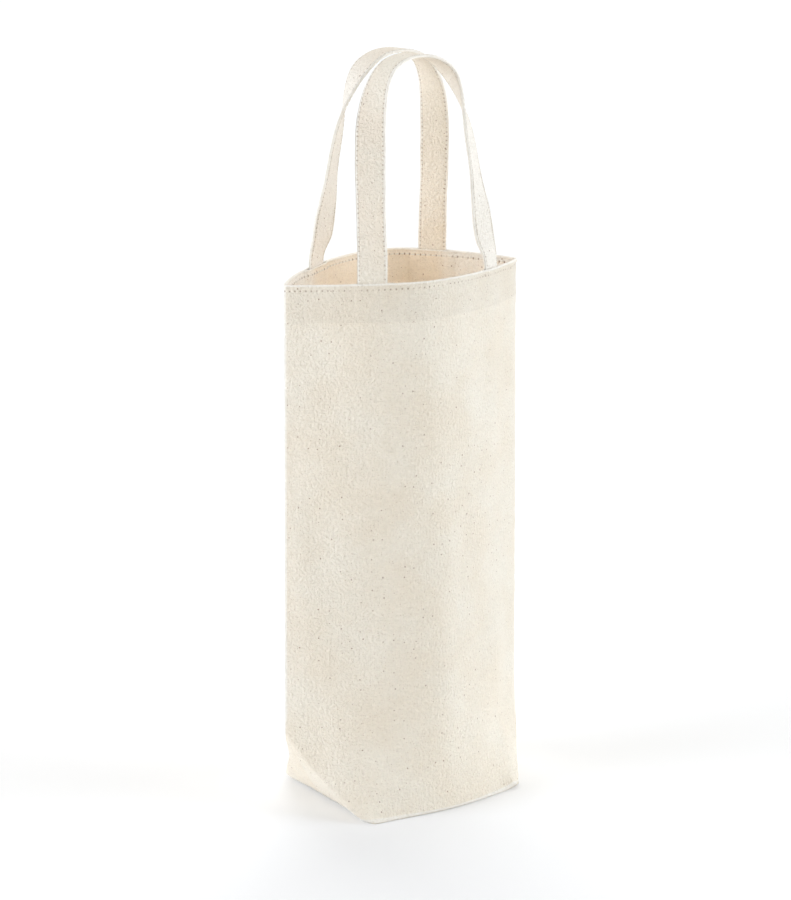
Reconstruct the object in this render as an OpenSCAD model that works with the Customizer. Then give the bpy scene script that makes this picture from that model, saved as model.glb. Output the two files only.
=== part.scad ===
// Canvas bottle carrier with two short carrying handles, standing open.
// X runs across the bag from side seam to side seam, -Y is the front, Z is up.
// The bag is the same from the front and from the back: the back half is the
// front half turned half a circle about Z.

/* [Bag] */
// Width of the base, from corner seam to corner seam
base_w = 100; // [85:1:120]
// Depth of the base at its corners, front to back
base_d = 96; // [80:1:110]
// How far the long edges of the base bow outward
base_bow = 4; // [2:0.5:7]
// Height of the mouth's edge in the middle of a panel
bag_h = 314; // [270:1:360]
// How far the mouth's edge dips at the side seams
seam_dip = 4; // [1:0.5:8]
// Width of the mouth, from side seam to side seam
mouth_w = 160; // [150:1:166]
// How far off the middle the mouth stands open widest
ridge_shift = 18; // [0:1:26]
// Thickness of the canvas
cloth_t = 0.7; // [0.5:0.05:1]

/* [Base corners] */
// Height of the triangular faces that box the corners
facet_h = 47; // [36:1:60]
// Width across the side seams at the top of those faces
shoulder_w = 165; // [152:1:172]

/* [Seams] */
// Width of the edges turned in at each seam
allowance_w = 8; // [5:0.5:12]
// Space between two layers of cloth that lie on each other
lay_gap = 0.2; // [0.15:0.05:0.3]

/* [Mouth facing] */
// Depth of the band that lines the mouth
facing_h = 22; // [18:1:34]
// Distance of the stitching below the mouth's edge
stitch_drop = 4.5; // [3:0.5:7]

/* [Handles] */
// Width of the strap
strap_w = 17; // [13:0.5:22]
// Thickness of the folded strap
strap_t = 1.8; // [1.4:0.1:2.4]
// Distance between the two feet of one handle, along the cloth
foot_spread = 94; // [80:1:106]
// Rise of the handle above the mouth
handle_h = 122; // [95:1:150]
// Gap between the front and back handle at their tops
top_gap = 15; // [13:0.5:24]
// How much further the handle can swing inward, in degrees
swing_in = 3; // [1:0.5:4]
// Length of strap sewn in behind the facing
tail_h = 19; // [12:1:24]

/* [Thread] */
// Width of a row of stitches
thread_w = 0.5; // [0.3:0.05:0.8]
// How far a row stands out of the cloth
thread_t = 0.3; // [0.2:0.05:0.5]
// Distance of the strap's rows from its edges
row_in = 1.7; // [1.2:0.1:2.5]

/* [Hidden] */

canvas = "#f1e9d8";
canvas_inside = "#ead9bd";
thread = "#e3d6bf";

// Cloth in one panel, across the bag and down into half of the base
panel_w = base_w + base_d;
// Sharpness of the rounded ridge down the middle of a panel
ridge_power = 1.8;
// How fast the corner faces spread from the base, and how fast the panel swells
spread_power = 0.65;
swell_power = 0.85;
// Clearance under a thread, and under the foot of a handle at its hinge line
thread_gap = 0.05;
foot_gap = 0.3;
// Cloth between a handle's foot and the flat run of the facing
ramp_w = 6;
foot_clear = 0.5;
// Grid counts: across a corner face, across half a base edge, along an arch
facet_n = 6;
bulge_n = 10;
arch_n = 18;
arc_n = 64;
half_n = facet_n + bulge_n;
col_n = 2 * half_n;
// Heights of a panel's rows, as shares of the way from the corner faces to the mouth
row_shares = [0, 0.12, 0.28, 0.45, 0.62, 0.8, 0.92, 1];
// Shape of the arch, as shares of its rise and of its half width
leg_pull_share = 0.6;
leg_taper_share = 0.19;
crown_pull_share = 0.94;
// Part of each leg in which the strap turns, as shares of the way to the top
turn_start_share = 0.3;
turn_end_share = 0.8;

function mix(a, b, s) = a + (b - a) * s;
function clamp(s) = max(0, min(1, s));
function smooth(s) = let (c = clamp(s)) c * c * (3 - 2 * c);
function unit(v) = v / norm(v);
function bezier(a, b, c, d, s) =
    a * pow(1 - s, 3) + 3 * b * pow(1 - s, 2) * s + 3 * c * (1 - s) * s * s + d * pow(s, 3);

// Mouth section: u runs from -1 at the left seam over 0 at the ridge to 1 at the right
function lens_x(half_w, ridge, u) = ridge + u * (u < 0 ? half_w + ridge : half_w - ridge);
function lens_point(half_w, ridge, depth, u) =
    [lens_x(half_w, ridge, u), -depth * (1 - pow(abs(u), ridge_power))];
function lens_slope(half_w, ridge, depth, u) =
    depth * ridge_power * pow(abs(u), ridge_power - 1) * sign(u)
    / (u < 0 ? half_w + ridge : half_w - ridge);
function lens_u(i) = 2 * i / arc_n - 1;
function lens_step(half_w, ridge, depth, i) =
    norm(lens_point(half_w, ridge, depth, lens_u(i + 1)) - lens_point(half_w, ridge, depth, lens_u(i)));
function total(v, i = 0) = i == len(v) ? 0 : v[i] + total(v, i + 1);
function lens_arc(half_w, ridge, depth) =
    total([for (i = [0:arc_n - 1]) lens_step(half_w, ridge, depth, i)]);
// Depth at which the cloth of one panel just spans the section
function lens_depth(half_w, ridge, low, high, steps = 18) =
    let (middle = (low + high) / 2)
    steps == 0 ? middle
    : lens_arc(half_w, ridge, middle) < panel_w
        ? lens_depth(half_w, ridge, middle, high, steps - 1)
        : lens_depth(half_w, ridge, low, middle, steps - 1);

function ridge_at(z) = -ridge_shift * z / bag_h;
shoulder_depth = lens_depth(shoulder_w / 2, ridge_at(facet_h), 0, panel_w / 2);
mouth_depth = lens_depth(mouth_w / 2, ridge_at(bag_h), 0, panel_w / 2);

// Place on the cloth's outer face at height share v, moved inward by inset
function wall(v, u, inset = 0) =
    let (
        half_w = mix(shoulder_w, mouth_w, v) / 2,
        z = mix(facet_h, bag_h - seam_dip * u * u, v),
        ridge = ridge_at(mix(facet_h, bag_h, v)),
        depth = mix(shoulder_depth, mouth_depth, v),
        p = lens_point(half_w, ridge, depth, u),
        n = unit([-lens_slope(half_w, ridge, depth, u), 1])
    )
    abs(u) == 1 ? [p.x + inset / n.x, 0, z] : [p.x + n.x * inset, p.y + n.y * inset, z];
function wall_angle(u) =
    atan(lens_slope(mouth_w / 2, ridge_at(bag_h), mouth_depth, u));

// Share of u for a distance along the mouth's edge, measured from the panel's middle
mouth_steps = [for (i = [0:arc_n - 1]) lens_step(mouth_w / 2, ridge_at(bag_h), mouth_depth, i)];
mouth_arc = total(mouth_steps);
mouth_table = [
    for (i = 0, s = -mouth_arc / 2; i <= arc_n; s = s + (i < arc_n ? mouth_steps[i] : 0), i = i + 1)
        [s, lens_u(i)]
];
function mouth_u(s) = lookup(s, mouth_table);
function v_below(drop) = 1 - drop / (bag_h - facet_h);

// Rows of the panel: first over the corner faces, then up the wall
function facet_z(i) = facet_h * pow(i / facet_n, 1 / spread_power);
function facet_row(i) =
    let (
        s = i / facet_n,
        z = facet_z(i),
        half_w = mix(base_w, shoulder_w, s) / 2,
        crease = base_d / 2 * (1 - s),
        swell = mix(base_bow, shoulder_depth, pow(s, swell_power)),
        side_n = facet_n - i,
        run_n = bulge_n + i
    )
    concat(
        [for (j = [0:side_n - 1]) [-half_w, -crease * j / side_n, z]],
        [for (j = [-run_n:run_n])
            let (p = lens_point(half_w, ridge_at(z), swell, j / run_n)) [p.x, p.y - crease, z]],
        [for (j = [side_n - 1:-1:0]) [half_w, -crease * j / side_n, z]]
    );
// A row moved inward, square to its own run, and along X at the seams
function inset_row(row, inset) =
    [for (j = [0:col_n])
        let (
            t = row[min(j + 1, col_n)] - row[max(j - 1, 0)],
            n = unit([-t.y, t.x])
        )
        j == 0 || j == col_n ? row[j] + [inset / n.x, 0, 0] : row[j] + [n.x * inset, n.y * inset, 0]
    ];
function at_height(row, z) = [for (p = row) [p.x, p.y, z]];
function wall_row(v, inset) = [for (j = [-half_n:half_n]) wall(v, j / half_n, inset)];

panel_outer = concat(
    [for (i = [0:facet_n - 1]) facet_row(i)],
    [for (v = row_shares) wall_row(v, 0)]
);
// The floor's inner face cuts the side walls a little wider than the base
floor_row =
    let (s = cloth_t / facet_z(1))
    at_height([for (j = [0:col_n]) mix(panel_outer[0][j], panel_outer[1][j], s)], cloth_t);
panel_inner = concat(
    [inset_row(floor_row, cloth_t)],
    [for (i = [1:facet_n - 1]) inset_row(facet_row(i), cloth_t)],
    [for (v = row_shares) wall_row(v, cloth_t)]
);

// Faces of a closed skin between two equal grids, outer first
function flat(rows) = [for (row = rows) for (p = row) p];
function grid_faces(rows, cols, first, flip, turn_col) =
    [for (i = [0:rows - 2]) for (j = [0:cols - 2])
        let (
            a = first + i * cols + j,
            b = a + 1,
            c = b + cols,
            d = a + cols,
            tris = j < turn_col ? [[a, d, b], [b, d, c]] : [[a, d, c], [a, c, b]]
        )
        each flip ? [for (t = tris) [t[0], t[2], t[1]]] : tris];
function side_faces(rows, cols, col, flip) =
    let (back = rows * cols)
    [for (i = [0:rows - 2])
        let (
            a = i * cols + col,
            b = a + cols,
            tris = [[a, a + back, b + back], [a, b + back, b]]
        )
        each flip ? [for (t = tris) [t[0], t[2], t[1]]] : tris];
function edge_faces(rows, cols, row, flip) =
    let (back = rows * cols)
    [for (j = [0:cols - 2])
        let (
            a = row * cols + j,
            b = a + 1,
            tris = [[a, b, b + back], [a, b + back, a + back]]
        )
        each flip ? [for (t = tris) [t[0], t[2], t[1]]] : tris];

// Half of the base: bands from side to side, then a fan over its bowed front edge
function base_faces(last, first, flip) =
    let (
        bands = [for (j = [0:facet_n - 1])
            each [[j, j + 1, last - j], [j + 1, last - 1 - j, last - j]]],
        fan = [for (j = [facet_n + 1:last - facet_n - 1]) [facet_n, j, j + 1]]
    )
    [for (t = concat(bands, fan))
        flip ? [first + t[0], first + t[2], first + t[1]] : [first + t[0], first + t[1], first + t[2]]];

// A sheet with both faces and all four edges, from an outer and an inner grid
module sheet(outer, inner) {
    rows = len(outer);
    cols = len(outer[0]);
    polyhedron(
        points = concat(flat(outer), flat(inner)),
        faces = concat(
            grid_faces(rows, cols, 0, false, cols),
            grid_faces(rows, cols, rows * cols, true, cols),
            side_faces(rows, cols, 0, false),
            side_faces(rows, cols, cols - 1, true),
            edge_faces(rows, cols, 0, false),
            edge_faces(rows, cols, rows - 1, true)
        )
    );
}

// One half of the bag's shell: a wall that folds under into half of the base
module panel() {
    rows = len(panel_outer);
    cols = col_n + 1;
    back = rows * cols;
    color(canvas)
        polyhedron(
            points = concat(flat(panel_outer), flat(panel_inner)),
            faces = concat(
                grid_faces(rows, cols, 0, false, half_n),
                grid_faces(rows, cols, back, true, half_n),
                side_faces(rows, cols, 0, false),
                side_faces(rows, cols, cols - 1, true),
                edge_faces(rows, cols, rows - 1, true),
                base_faces(cols - 1, 0, false),
                base_faces(cols - 1, back, true),
                [[0, cols - 1, back + cols - 1], [0, back + cols - 1, back]]
            )
        );
}

// Distances along the mouth at which the facing changes shape over the strap ends
foot_half = strap_w / 2 + foot_clear;
foot_places = [-foot_spread / 2, foot_spread / 2];
end_n = 4;
function run(a, b, n) = [for (i = [0:n - 1]) mix(a, b, i / n)];
facing_places = concat(
    run(-mouth_arc / 2, foot_places[0] - foot_half - ramp_w, facet_n),
    [foot_places[0] - foot_half - ramp_w],
    run(foot_places[0] - foot_half, foot_places[0] + foot_half, end_n),
    [foot_places[0] + foot_half],
    run(foot_places[0] + foot_half + ramp_w, foot_places[1] - foot_half - ramp_w, bulge_n),
    [foot_places[1] - foot_half - ramp_w],
    run(foot_places[1] - foot_half, foot_places[1] + foot_half, end_n),
    [foot_places[1] + foot_half],
    run(foot_places[1] + foot_half + ramp_w, mouth_arc / 2, facet_n),
    [mouth_arc / 2]
);
function over_end(s) =
    max([for (f = foot_places) clamp((foot_half + ramp_w - abs(s - f)) / ramp_w)]);
function facing_inset(s) = cloth_t + lay_gap + over_end(s) * (strap_t + lay_gap);
function facing_u(i) =
    i == 0 ? -1 : i == len(facing_places) - 1 ? 1 : mouth_u(facing_places[i]);
function facing_rows(extra) =
    [for (drop = [facing_h, facing_h / 2, 0])
        [for (i = [0:len(facing_places) - 1])
            wall(v_below(drop), facing_u(i), facing_inset(facing_places[i]) + extra)]];

// The band that lines half of the mouth and holds the strap ends
module facing() {
    color(canvas_inside) sheet(facing_rows(0), facing_rows(cloth_t));
}

// A strap end, flat between the panel and the facing
module handle_end(place) {
    places = [for (k = [0:end_n]) place + strap_w * (k / end_n - 1 / 2)];
    near = cloth_t + lay_gap;
    color(canvas)
        sheet(
            [for (drop = [tail_h, foot_gap])
                [for (s = places) wall(v_below(drop), mouth_u(s), near)]],
            [for (drop = [tail_h, foot_gap])
                [for (s = places) wall(v_below(drop), mouth_u(s), near + strap_t)]]
        );
}

// The row of stitches along the mouth, on the face of the panel
module mouth_stitching() {
    rows = [stitch_drop + thread_w / 2, stitch_drop - thread_w / 2];
    color(thread)
        sheet(
            [for (drop = rows) wall_row(v_below(drop), -thread_gap - thread_t)],
            [for (drop = rows) wall_row(v_below(drop), -thread_gap)]
        );
}

// Edges turned in along the right side seam, standing inward between the panels
corner_top = 2 * lay_gap + 3 * cloth_t;
seam_clear = concat(
    [for (i = [1:facet_n - 1]) [facet_z(i), panel_inner[i][col_n].x - lay_gap]],
    [for (v = row_shares)
        let (
            p = wall(v, 1, cloth_t),
            slope = lens_slope(
                mix(shoulder_w, mouth_w, v) / 2, ridge_at(mix(facet_h, bag_h, v)),
                mix(shoulder_depth, mouth_depth, v), 1)
        )
        [p.z, p.x - cloth_t / slope - lay_gap]]
);
seam_end = wall(v_below(facing_h + lay_gap), 1).z;
seam_heights = concat(
    [corner_top + lay_gap],
    [for (p = seam_clear) if (p[0] > corner_top + 2 * lay_gap && p[0] < seam_end - lay_gap) p[0]],
    [seam_end]
);
module side_seam() {
    color(canvas_inside)
        sheet(
            [for (z = seam_heights)
                [for (x = [lookup(z, seam_clear) - allowance_w, lookup(z, seam_clear)])
                    [x, -cloth_t, z]]],
            [for (z = seam_heights)
                [for (x = [lookup(z, seam_clear) - allowance_w, lookup(z, seam_clear)])
                    [x, cloth_t, z]]]
        );
}

// Edges turned in along a short side of the base, folded down onto it.
// Their ends slope with the walls, which draw in above the base's corners.
function corner_reach(z) = base_d / 2 * (1 - z / facet_z(1) / facet_n) - cloth_t - lay_gap;
module corner_seam() {
    outer_x = base_w / 2 - cloth_t;
    levels = [cloth_t + lay_gap, 3 * cloth_t + lay_gap];
    color(canvas_inside)
        sheet(
            [for (z = levels)
                [[outer_x - allowance_w, -corner_reach(z), z], [outer_x, -corner_reach(z), z]]],
            [for (z = levels)
                [[outer_x - allowance_w, corner_reach(z), z], [outer_x, corner_reach(z), z]]]
        );
}

// Edges turned in along the seam under the bag, folded down toward the front
module bottom_seam() {
    half_w = base_w / 2 - cloth_t - allowance_w - lay_gap;
    color(canvas_inside)
        translate([-half_w, -allowance_w, cloth_t + lay_gap])
            cube([2 * half_w, allowance_w, 2 * cloth_t]);
}

// Feet of the front handle, in the middle of the strap's thickness
foot_us = [for (f = foot_places) mouth_u(f)];
foot_inset = cloth_t + lay_gap + strap_t / 2;
feet = [for (u = foot_us) wall(1, u, foot_inset)];
across = unit([feet[1].x - feet[0].x, feet[1].y - feet[0].y, 0]);
inward = [-across.y, across.x, 0];
half_span = norm([feet[1].x - feet[0].x, feet[1].y - feet[0].y]) / 2;
middle = (feet[0] + feet[1]) / 2;
// The handle leans in until its top keeps the gap to the other one's
lean = asin((-middle * inward - (top_gap + strap_w) / 2) / handle_h);
rising = inward * sin(lean) + [0, 0, cos(lean)];
// Turn of the strap's width, seen from above: at each foot and at the top
foot_angles = [wall_angle(foot_us[0]), wall_angle(foot_us[1]) - 180];
top_angle = atan2(-inward.y, -inward.x);
// The handle turns about a line just in front of the panel, beside its feet
function foot_corner(side) =
    let (w = [cos(foot_angles[side]), sin(foot_angles[side]), 0])
    min([for (a = [-1, 1]) (feet[side] + w * a * strap_w / 2 - middle) * inward]);
hinge_back = min(foot_corner(0), foot_corner(1)) - foot_inset - lay_gap - thread_gap - thread_t;

// Arch of the strap: t is -1 at the left foot, 0 at the top and 1 at the right foot
function arch(t) =
    let (
        s = 1 - abs(t),
        out = bezier(half_span, half_span * (1 - leg_taper_share), half_span * crown_pull_share, 0, s),
        up = bezier(0, handle_h * leg_pull_share, handle_h, handle_h, s),
        foot = feet[t < 0 ? 0 : 1],
        level = mix(foot.z, middle.z, s)
    )
    [middle.x, middle.y, level] + across * (t < 0 ? -out : out) + rising * up;
function arch_way(t) = unit(arch(min(t + 1 / arch_n / 4, 1)) - arch(max(t - 1 / arch_n / 4, -1)));
function strap_frame(t) =
    let (
        s = 1 - abs(t),
        turn = smooth((s - turn_start_share) / (turn_end_share - turn_start_share)),
        angle = mix(foot_angles[t < 0 ? 0 : 1], top_angle, turn),
        flat_w = [cos(angle), sin(angle), 0],
        way = arch_way(t),
        w = unit(flat_w - way * (flat_w * way) * clamp(s * arch_n / 2))
    )
    [w, unit(cross(w, way))];
// Place on the strap: a across its width, b out of its middle
function strap(t, a, b) =
    let (f = strap_frame(t), p = arch(t) + f[0] * a + f[1] * b)
    abs(t) < 1 ? p
    : [p.x, p.y, rim_z(p, t) + foot_gap + ((p - middle) * inward - hinge_back) * tan(swing_in)];
// Height of the mouth's edge beside a foot
function rim_z(p, t) =
    let (
        side = t < 0 ? 0 : 1,
        foot = feet[side],
        u = foot_us[side],
        ridge = ridge_at(bag_h),
        fall = -2 * seam_dip * u / (u < 0 ? mouth_w / 2 + ridge : mouth_w / 2 - ridge)
    )
    foot.z + (p.x - foot.x) * fall;

row_at = strap_w / 2 - row_in;
strap_stations = [
    -strap_w / 2, -row_at - thread_w / 2, -row_at + thread_w / 2, 0,
    row_at - thread_w / 2, row_at + thread_w / 2, strap_w / 2
];
arch_steps = [for (i = [-arch_n:arch_n]) i / arch_n];

module handle() {
    color(canvas)
        sheet(
            [for (t = arch_steps) [for (a = strap_stations) strap(t, a, strap_t / 2)]],
            [for (t = arch_steps) [for (a = strap_stations) strap(t, a, -strap_t / 2)]]
        );
}

// Two rows of stitches, each showing on both faces of the strap
module handle_stitching() {
    steps = [for (i = [1 - arch_n:arch_n - 1]) i / arch_n];
    near = strap_t / 2 + thread_gap;
    color(thread)
        for (row = [-row_at, row_at])
            for (face = [-1, 1]) {
                stations = [row - thread_w / 2, row + thread_w / 2];
                levels = face > 0 ? [near + thread_t, near] : [-near, -near - thread_t];
                sheet(
                    [for (t = steps) [for (a = stations) strap(t, a, levels[0])]],
                    [for (t = steps) [for (a = stations) strap(t, a, levels[1])]]
                );
            }
}

module turned() {
    rotate([0, 0, 180]) children();
}

module front_panel() { panel(); }
module back_panel() { turned() panel(); }
module front_facing() { facing(); }
module back_facing() { turned() facing(); }
module right_side_seam() { side_seam(); }
module left_side_seam() { turned() side_seam(); }
module right_corner_seam() { corner_seam(); }
module left_corner_seam() { turned() corner_seam(); }
module front_left_handle_end() { handle_end(foot_places[0]); }
module front_right_handle_end() { handle_end(foot_places[1]); }
module back_right_handle_end() { turned() handle_end(foot_places[0]); }
module back_left_handle_end() { turned() handle_end(foot_places[1]); }
module front_mouth_stitching() { mouth_stitching(); }
module back_mouth_stitching() { turned() mouth_stitching(); }
module front_handle() { handle(); }
module back_handle() { turned() handle(); }
module front_handle_stitching() { handle_stitching(); }
module back_handle_stitching() { turned() handle_stitching(); }

front_panel();
back_panel();
front_facing();
back_facing();
left_side_seam();
right_side_seam();
bottom_seam();
left_corner_seam();
right_corner_seam();
front_left_handle_end();
front_right_handle_end();
back_left_handle_end();
back_right_handle_end();
front_mouth_stitching();
back_mouth_stitching();
front_handle();
back_handle();
front_handle_stitching();
back_handle_stitching();
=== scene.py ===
# %% [markdown]
# # A canvas bottle carrier
#
# This lesson dresses a sewn bag: two panels of natural canvas that fold under
# into a boxed base, a band that lines the mouth, and two short straps. The
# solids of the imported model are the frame, and every piece made here stands
# for one of them. All lengths below are in millimetres until the last step,
# because that is how a pattern is drawn, and one factor turns them into metres.

import functools
import math

import bmesh
import bpy
import numpy as np
from mathutils import Matrix, Vector, noise


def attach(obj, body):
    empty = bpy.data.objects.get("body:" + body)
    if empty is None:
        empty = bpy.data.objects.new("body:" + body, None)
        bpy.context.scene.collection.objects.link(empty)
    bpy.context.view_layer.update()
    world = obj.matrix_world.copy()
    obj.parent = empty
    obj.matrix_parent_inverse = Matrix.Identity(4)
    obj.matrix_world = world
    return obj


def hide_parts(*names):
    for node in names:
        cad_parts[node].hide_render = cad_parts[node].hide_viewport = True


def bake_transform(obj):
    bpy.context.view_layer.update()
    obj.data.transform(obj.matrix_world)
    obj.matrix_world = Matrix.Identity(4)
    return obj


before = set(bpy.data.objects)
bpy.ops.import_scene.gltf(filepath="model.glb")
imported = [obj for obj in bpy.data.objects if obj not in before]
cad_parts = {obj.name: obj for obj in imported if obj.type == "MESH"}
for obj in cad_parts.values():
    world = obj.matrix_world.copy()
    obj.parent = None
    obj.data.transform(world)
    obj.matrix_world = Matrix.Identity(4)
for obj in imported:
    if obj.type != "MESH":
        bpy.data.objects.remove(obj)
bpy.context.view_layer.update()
MM = 0.001

# %% [markdown]
# ## The camera
#
# The view of a product photograph is found first, because everything is judged
# from it. The bag's corners, seams and strap feet give the angle and distance:
# a long lens from the front left, a little above the bag.

# %% Place the camera
VIEW_AZIMUTH, VIEW_ELEVATION = -33.95, 14.14
VIEW_DISTANCE = 1473.9
LENS_MM = 101.6
AIM_SIDE, AIM_HEIGHT = -4.5, 204.7

turn, lift = math.radians(VIEW_AZIMUTH), math.radians(VIEW_ELEVATION)
view_back = Vector(
    (math.sin(turn) * math.cos(lift), -math.cos(turn) * math.cos(lift), math.sin(lift))
)
view_right = Vector((math.cos(turn), math.sin(turn), 0))
aim = view_right * AIM_SIDE + Vector((0, 0, AIM_HEIGHT))
camera = bpy.data.objects.new("camera", bpy.data.cameras.new("camera"))
camera.data.lens = LENS_MM
camera.data.sensor_width = 36
camera.location = (aim + view_back * VIEW_DISTANCE) * MM
camera.rotation_euler = (-view_back).to_track_quat("-Z", "Y").to_euler()
camera.data.clip_start, camera.data.clip_end = 0.01, 50
bpy.context.scene.collection.objects.link(camera)
bpy.context.scene.camera = camera
print("camera at", [round(c, 3) for c in camera.location])

# %% [markdown]
# ## Shader sums written as Python
#
# A weave is a formula, and formulas read badly as rows of node calls. This
# class wraps the output of a node, so that an expression adds its Math nodes.


# %% Wrap a socket
class Wire:
    """An output of a shader node. Sums on it add Math nodes to the same tree."""

    def __init__(self, tree, socket):
        self.tree, self.socket = tree, socket

    def node(self, kind, inputs, output=0, **settings):
        """Adds a node: its settings first, then the values or links of its sockets."""
        made = self.tree.nodes.new("ShaderNode" + kind)
        for name, value in settings.items():
            setattr(made, name, value)
        for key, value in inputs.items():
            if isinstance(value, Wire):
                self.tree.links.new(value.socket, made.inputs[key])
            else:
                made.inputs[key].default_value = value
        return Wire(self.tree, made.outputs[output])

    def math(self, operation, *others):
        return self.node("Math", dict(enumerate((self, *others))), operation=operation)

    def __add__(self, other):
        return self.math("ADD", other)

    def __sub__(self, other):
        return self.math("SUBTRACT", other)

    def __rsub__(self, other):
        return (self * -1) + other

    def __mul__(self, other):
        return self.math("MULTIPLY", other)

    def __truediv__(self, other):
        return self.math("DIVIDE", other)

    __radd__, __rmul__ = __add__, __mul__

    def __abs__(self):
        return self.math("ABSOLUTE")

    def floor(self):
        return self.math("FLOOR")

    def near(self, place, reach):
        """1 round a place, and 0 beyond a distance from it."""
        return abs(self - place).ramp(reach, reach * 0.5)

    def wave(self):
        """A sine with one half turn for each whole number."""
        return (self * math.pi).math("SINE")

    def ramp(self, low, high):
        """0 below low, 1 above high, and a smooth rise between them."""
        keys = {"Value": self, "From Min": low, "From Max": high}
        return self.node("MapRange", keys, interpolation_type="SMOOTHSTEP")

    def vector(self, y, z=0.0):
        return self.node("CombineXYZ", {"X": self, "Y": y, "Z": z})

    def noise(self, scale, detail=2.0):
        keys = {"Vector": self, "Scale": scale, "Detail": detail, "Roughness": 0.55}
        return self.node("TexNoise", keys, "Fac")

    def mix(self, low, high):
        """Goes from colour low to colour high as this mask goes from 0 to 1."""
        keys = {"Factor": self, 6: low, 7: high}
        return self.node("Mix", keys, 2, data_type="RGBA")

    def tint(self, low, high, colour):
        """Colour times a grey that goes from low to high with this mask."""
        grey = self.node("MapRange", {"Value": self, "To Min": low, "To Max": high})
        keys = {"Factor": 1.0, 6: colour, 7: grey}
        return self.node("Mix", keys, 2, data_type="RGBA", blend_type="MULTIPLY")


print("shader sums ready")

# %% [markdown]
# ## Canvas
#
# Natural canvas is a plain weave of thick cotton yarns, about 17 to the
# centimetre. What makes it look unbleached is uneven yarn and bits of seed
# husk: a few dark flecks and many faint ones. The pattern follows the cloth,
# so it reads a UV map that is laid out in real metres, and the same recipe
# dresses the panels, the lining and the straps. Each row of stitches leaves
# needle holes, which are drawn at the same pitch as the stitches and painted
# dark as the shade in them. Folds, seams and edges get a painted highlight.
# Painted light makes the cloth paler where light comes through it and near the
# floor, and painted shade makes it darker where it lies double.

# %% The yarns of a plain weave
YARN = 0.58
HOLE_R, HOLE_HEART = 0.75, 0.2


def weave(across, along):
    """Height of a plain weave, from 0 to 1, at places counted in yarns."""
    warp = abs(across.wave()) * ((along + across.floor()).wave() * 0.5 + 0.5)
    weft = abs(along.wave()) * ((across + along.floor() + 1).wave() * 0.5 + 0.5)
    return warp.math("MAXIMUM", weft)


def flecks(place, size, share, small, large):
    """Mask of ragged flecks: one cell in some holds a fleck, small to large in radius."""
    keys = {"Vector": place, "Scale": 1 / (size * MM)}
    cell = place.node("TexVoronoi", keys, "Color", voronoi_dimensions="2D")
    near = place.node("TexVoronoi", keys, "Distance", voronoi_dimensions="2D")
    chance = cell.node("SeparateColor", {"Color": cell}, "Red")
    grain = cell.node("SeparateColor", {"Color": cell}, "Green")
    reach = grain * ((large - small) / size) + small / size
    ragged = place.noise(2400, 1.0) * 1.8 + 0.1
    inside = (near / reach * ragged).ramp(1.15, 0.55)
    return inside * chance.math("LESS_THAN", share)


def needle_holes(across, along, row, pitch):
    """Mask of the holes in one row of stitches, at a distance across the cloth."""
    count = along / pitch
    step = count.math("FRACT") - 0.5
    reach = ((step * pitch).math("POWER", 2) + (across - row).math("POWER", 2)).math("SQRT")
    pull = (count.floor() * 0.37).vector(row).noise(1.0, 0.0).ramp(0.25, 0.6)
    return reach.ramp(HOLE_R, HOLE_HEART) * (pull * 0.65 + 0.35)


# %% Colours of a canvas
# Colours of painted light: a painted highlight for folds, seams and edges, and paler cloth where
# light comes through it.
PAINTED_HIGHLIGHT, LIT = (0.985, 0.945, 0.865, 1), (0.965, 0.91, 0.815, 1)
# Painted warm light, thrown back from the bag's inside on to a strap's inner face.
WARM_BOUNCE = (0.925, 0.835, 0.695, 1)
HUSK, FAINT_HUSK, DUST = (0.27, 0.13, 0.07, 1), (0.42, 0.26, 0.16, 1), (0.5, 0.37, 0.27, 1)
HOLE_SHADE = (0.27, 0.16, 0.09, 1)
# Painted shade where the cloth lies double, and painted light from the floor on the lowest cloth.
DOUBLE_LAYER_SHADE, FLOOR_BOUNCE_LIGHT, FLOOR_BOUNCE_REACH = 0.945, 1.07, 110
print("highlit edges:", PAINTED_HIGHLIGHT[:3], "and cloth with light behind it:", LIT[:3])


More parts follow.
